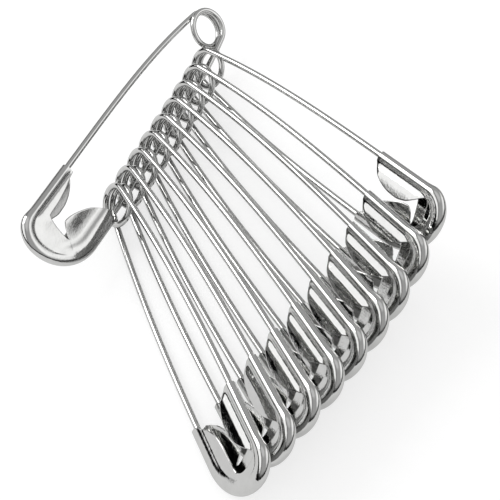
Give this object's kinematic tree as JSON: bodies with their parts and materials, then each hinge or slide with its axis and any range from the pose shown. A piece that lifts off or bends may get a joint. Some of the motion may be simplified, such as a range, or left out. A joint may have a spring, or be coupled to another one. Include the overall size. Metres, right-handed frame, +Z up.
{
  "type": "bunch of safety pins",
  "caption": "Closed wire safety pins with folded sheet guards, strung by their spring coils on the needle leg of one carrier pin and fanned out to one side.",
  "frame": {"origin": "bottom centre of the whole bunch's box, on the table", "axes": "+Z up from the table, +Y along the bunch's longest extent away from the viewer of the picture, +X to the right"},
  "size_m": [0.0538, 0.0766, 0.0159],
  "materials": {
    "cap": "bright nickel plate, lightly scuffed",
    "wire": "bright nickel plated steel wire"
  },
  "bodies": {
    "carrier": {"carrier_cap": "cap", "carrier_spine": "wire", "carrier_coil": "wire"},
    "carrier_leg": {"carrier_needle": "wire"},
    "pin_1": {"pin_1_cap": "cap", "pin_1_spine": "wire", "pin_1_coil": "wire"},
    "pin_1_leg": {"pin_1_needle": "wire"},
    "pin_2": {"pin_2_cap": "cap", "pin_2_spine": "wire", "pin_2_coil": "wire"},
    "pin_2_leg": {"pin_2_needle": "wire"},
    "pin_3": {"pin_3_cap": "cap", "pin_3_spine": "wire", "pin_3_coil": "wire"},
    "pin_3_leg": {"pin_3_needle": "wire"},
    "pin_4": {"pin_4_cap": "cap", "pin_4_spine": "wire", "pin_4_coil": "wire"},
    "pin_4_leg": {"pin_4_needle": "wire"},
    "pin_5": {"pin_5_cap": "cap", "pin_5_spine": "wire", "pin_5_coil": "wire"},
    "pin_5_leg": {"pin_5_needle": "wire"},
    "pin_6": {"pin_6_cap": "cap", "pin_6_spine": "wire", "pin_6_coil": "wire"},
    "pin_6_leg": {"pin_6_needle": "wire"},
    "pin_7": {"pin_7_cap": "cap", "pin_7_spine": "wire", "pin_7_coil": "wire"},
    "pin_7_leg": {"pin_7_needle": "wire"},
    "pin_8": {"pin_8_cap": "cap", "pin_8_spine": "wire", "pin_8_coil": "wire"},
    "pin_8_leg": {"pin_8_needle": "wire"},
    "pin_9": {"pin_9_cap": "cap", "pin_9_spine": "wire", "pin_9_coil": "wire"},
    "pin_9_leg": {"pin_9_needle": "wire"}
  },
  "joints": [
    {"name": "carrier_open", "type": "hinge", "parent": "carrier", "child": "carrier_leg", "pos_m": [-0.00398, 0.03517, 0.00554], "axis": [0.6475, -0.2842, 0.7071], "range_deg": [0, 30], "stiffness_Nm_per_rad": 0.003, "deforming": ["carrier_coil"]},
    {"name": "pin_1_swing", "type": "hinge", "parent": "carrier_leg", "child": "pin_1", "pos_m": [-0.01532, 0.00454, 0.0037], "axis": [-0.8061, -0.3174, 0.4995], "range_deg": [-25, 45]},
    {"name": "pin_2_swing", "type": "hinge", "parent": "carrier_leg", "child": "pin_2", "pos_m": [-0.0138, 0.00758, 0.0037], "axis": [-0.7938, -0.347, 0.4995], "range_deg": [-25, 45]},
    {"name": "pin_3_swing", "type": "hinge", "parent": "carrier_leg", "child": "pin_3", "pos_m": [-0.01227, 0.01062, 0.0037], "axis": [-0.7805, -0.3759, 0.4995], "range_deg": [-25, 45]},
    {"name": "pin_4_swing", "type": "hinge", "parent": "carrier_leg", "child": "pin_4", "pos_m": [-0.01074, 0.01366, 0.0037], "axis": [-0.7664, -0.404, 0.4994], "range_deg": [-25, 45]},
    {"name": "pin_5_swing", "type": "hinge", "parent": "carrier_leg", "child": "pin_5", "pos_m": [-0.00922, 0.0167, 0.0037], "axis": [-0.7516, -0.4309, 0.4994], "range_deg": [-25, 45]},
    {"name": "pin_6_swing", "type": "hinge", "parent": "carrier_leg", "child": "pin_6", "pos_m": [-0.00772, 0.01976, 0.0037], "axis": [-0.7369, -0.4558, 0.4992], "range_deg": [-25, 45]},
    {"name": "pin_7_swing", "type": "hinge", "parent": "carrier_leg", "child": "pin_7", "pos_m": [-0.00628, 0.02284, 0.0037], "axis": [-0.7237, -0.477, 0.4987], "range_deg": [-25, 45]},
    {"name": "pin_8_swing", "type": "hinge", "parent": "carrier_leg", "child": "pin_8", "pos_m": [-0.00488, 0.02596, 0.0037], "axis": [-0.7153, -0.4909, 0.4973], "range_deg": [-25, 45]},
    {"name": "pin_9_swing", "type": "hinge", "parent": "carrier_leg", "child": "pin_9", "pos_m": [-0.00357, 0.02911, 0.0037], "axis": [-0.7192, -0.4902, 0.4924], "range_deg": [-25, 45]},
    {"name": "pin_1_open", "type": "hinge", "parent": "pin_1", "child": "pin_1_leg", "pos_m": [-0.01532, 0.00454, 0.0037], "axis": [0.8061, 0.3174, -0.4995], "range_deg": [-6, 30], "stiffness_Nm_per_rad": 0.003, "deforming": ["pin_1_coil"]},
    {"name": "pin_2_open", "type": "hinge", "parent": "pin_2", "child": "pin_2_leg", "pos_m": [-0.0138, 0.00758, 0.0037], "axis": [0.7938, 0.347, -0.4995], "range_deg": [-6, 30], "stiffness_Nm_per_rad": 0.003, "deforming": ["pin_2_coil"]},
    {"name": "pin_3_open", "type": "hinge", "parent": "pin_3", "child": "pin_3_leg", "pos_m": [-0.01227, 0.01062, 0.0037], "axis": [0.7805, 0.3759, -0.4995], "range_deg": [-6, 30], "stiffness_Nm_per_rad": 0.003, "deforming": ["pin_3_coil"]},
    {"name": "pin_4_open", "type": "hinge", "parent": "pin_4", "child": "pin_4_leg", "pos_m": [-0.01074, 0.01366, 0.0037], "axis": [0.7664, 0.404, -0.4994], "range_deg": [-6, 30], "stiffness_Nm_per_rad": 0.003, "deforming": ["pin_4_coil"]},
    {"name": "pin_5_open", "type": "hinge", "parent": "pin_5", "child": "pin_5_leg", "pos_m": [-0.00922, 0.0167, 0.0037], "axis": [0.7516, 0.4309, -0.4994], "range_deg": [-6, 30], "stiffness_Nm_per_rad": 0.003, "deforming": ["pin_5_coil"]},
    {"name": "pin_6_open", "type": "hinge", "parent": "pin_6", "child": "pin_6_leg", "pos_m": [-0.00772, 0.01976, 0.0037], "axis": [0.7369, 0.4558, -0.4992], "range_deg": [-6, 30], "stiffness_Nm_per_rad": 0.003, "deforming": ["pin_6_coil"]},
    {"name": "pin_7_open", "type": "hinge", "parent": "pin_7", "child": "pin_7_leg", "pos_m": [-0.00628, 0.02284, 0.0037], "axis": [0.7237, 0.477, -0.4987], "range_deg": [-6, 30], "stiffness_Nm_per_rad": 0.003, "deforming": ["pin_7_coil"]},
    {"name": "pin_8_open", "type": "hinge", "parent": "pin_8", "child": "pin_8_leg", "pos_m": [-0.00488, 0.02596, 0.0037], "axis": [0.7153, 0.4909, -0.4973], "range_deg": [-6, 30], "stiffness_Nm_per_rad": 0.003, "deforming": ["pin_8_coil"]},
    {"name": "pin_9_open", "type": "hinge", "parent": "pin_9", "child": "pin_9_leg", "pos_m": [-0.00357, 0.02911, 0.0037], "axis": [0.7192, 0.4902, -0.4924], "range_deg": [-6, 30], "stiffness_Nm_per_rad": 0.003, "deforming": ["pin_9_coil"]}
  ]
}
